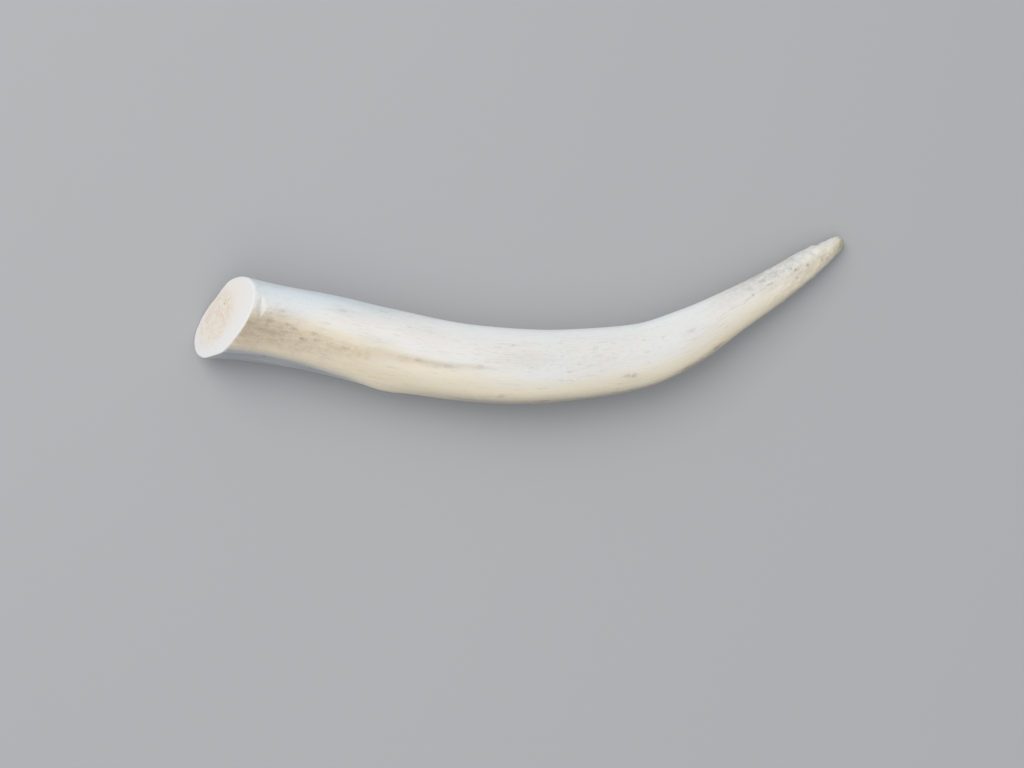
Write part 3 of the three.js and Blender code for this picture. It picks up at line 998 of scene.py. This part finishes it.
material, shader, wire = new_material("antler_bone")
place = wire.make("ShaderNodeAttribute", {"attribute_name": "grain"}, output=1)
face_amount = painted(wire, "sawn").fade(0.1, 0.95)
colour = outside_colour(wire, place).towards(RING_WHITE, painted(wire, "fresh") * 0.4)
colour = colour.towards(face_colour(wire, place), face_amount)

fibres = fibres_of(place).stretched(0.22, 3.6, 3.6).speckle(detail=3, roughness=0.6)
skin_pits = place.stretched(0.8, 1.7, 1.7).speckle(detail=2, roughness=0.6).fade(0.64, 0.76)
outside_height = fibres * 0.5 - skin_pits * 0.6
face_height = place.speckle(1.6, 2) * 0.3 - face_pores(place) * core_mask(place) * 0.6 - face_pinholes(place)
height = outside_height * (1 - face_amount) + face_height * face_amount
bump = wire.make("ShaderNodeBump", None, {"Strength": 0.5, "Distance": BUMP_DEPTH, "Height": height})
roughness = 0.44 + fibres * 0.12 + painted(wire, "grey") * 0.12 + face_amount * 0.26

for name, value in {"Base Color": colour, "Roughness": roughness, "Normal": bump}.items():
    material.node_tree.links.new(value.socket, shader.inputs[name])
glow = {"Subsurface Weight": 0.12, "Subsurface Radius": (1.0, 0.7, 0.45), "Subsurface Scale": LIGHT_DEPTH}
for name, value in {"Specular IOR Level": 0.4, **glow}.items():
    shader.inputs[name].default_value = value
mesh.materials.append(material)
print("nodes in the material:", len(material.node_tree.nodes))

# %% [markdown]
# ## Floor
# A plain pale floor, matt as paper, takes the soft shadow that says the tine lies flat. It isn't a part of
# the tine, so it is marked as stage.

# %% Floor
FLOOR_HALF_SIDE = 1.5  # metres
FLOOR_DROP = 0.05 * MILLIMETRE  # keeps the floor just clear of the tine

floor_bm = bmesh.new()
bmesh.ops.create_grid(floor_bm, x_segments=1, y_segments=1, size=FLOOR_HALF_SIDE)
bmesh.ops.translate(floor_bm, verts=floor_bm.verts, vec=(0, 0, -FLOOR_DROP))
floor_mesh = bpy.data.meshes.new("floor")
floor_bm.to_mesh(floor_mesh)
floor_bm.free()
floor = bpy.data.objects.new("floor", floor_mesh)
bpy.context.scene.collection.objects.link(floor)
floor_material, floor_shader = new_material("floor_paper")[:2]
floor_shader.inputs["Base Color"].default_value = (0.43, 0.43, 0.44, 1)
floor_shader.inputs["Roughness"].default_value = 0.85
floor_mesh.materials.append(floor_material)
floor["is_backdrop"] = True
print("floor:", 2 * FLOOR_HALF_SIDE, "m square")

# %% [markdown]
# ## Light
# Daylight comes from a large window, high up on the far left. A weaker one on the near side lifts the
# shadows there, and a dim cool sky fills in all round. A sun lamp would be simpler, but a square area light
# gives the soft shadows of a window.

# %% Windows and sky
DAYLIGHT = (1.0, 0.985, 0.96)
WINDOW_SIDE = 0.9  # metres


def soft_light(name, place, watts):
    """A window: a square area light that looks at the tine."""
    light = bpy.data.lights.new(name, "AREA")
    light.shape, light.size, light.energy, light.color = "SQUARE", WINDOW_SIDE, watts, DAYLIGHT
    lamp = bpy.data.objects.new(name, light)
    lamp.location = place
    lamp.rotation_euler = (-Vector(place)).to_track_quat("-Z", "Y").to_euler()
    bpy.context.scene.collection.objects.link(lamp)
    print(name, "at", place, "with", watts, "watts")


soft_light("window", (-0.42, 0.42, 0.88), 5.8)
soft_light("second_window", (0.1, -0.5, 0.87), 1.9)
sky = bpy.data.worlds.new("sky")
sky.use_nodes = True
sky.node_tree.nodes["Background"].inputs["Color"].default_value = (0.93, 0.965, 1.0, 1)
sky.node_tree.nodes["Background"].inputs["Strength"].default_value = 0.56
bpy.context.scene.world = sky
bpy.context.scene.view_settings.view_transform = "Standard"

# %% [markdown]
# ## Camera
# The camera looks almost straight down, a few degrees off, with a normal lens from 40 centimetres. Looking
# down, a camera has no up of its own to keep, so it is told that the top of its picture is +Y.

# %% Look down on the tine
CAMERA_TARGET = Vector((-3.1, -18.6, 0)) * MILLIMETRE
CAMERA_REACH = 406 * MILLIMETRE
LOOK_LEANS = (2.7, 3.2)  # degrees off straight down, towards +X and towards +Y
FOCAL_LENGTH, SENSOR_WIDTH = 49.2, 36

camera_data = bpy.data.cameras.new("camera")
camera_data.lens, camera_data.sensor_width = FOCAL_LENGTH, SENSOR_WIDTH
camera_data.clip_start = 0.01
camera = bpy.data.objects.new("camera", camera_data)
look = Vector((*(math.sin(math.radians(lean)) for lean in LOOK_LEANS), 0))
look.z = -math.sqrt(1 - look.length_squared)
back = -look
right = Vector((0, 1, 0)).cross(back).normalized()
up = back.cross(right)
turned = Matrix((right, up, back)).transposed().to_4x4()
camera.matrix_world = Matrix.Translation(CAMERA_TARGET + back * CAMERA_REACH) @ turned
bpy.context.scene.collection.objects.link(camera)
bpy.context.scene.camera = camera
print("camera at", [round(number, 3) for number in camera.location])

# %% [markdown]
# ## Both boxes
# The skin must stay inside the CAD model's box, so both boxes are printed.

VISUAL_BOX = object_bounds()
sizes = {"cad": [list(corner) for corner in CAD_BOX], "visual": [list(corner) for corner in VISUAL_BOX]}
for name, corners in sizes.items():
    print(name, [[round(number * 1000, 2) for number in corner] for corner in corners])
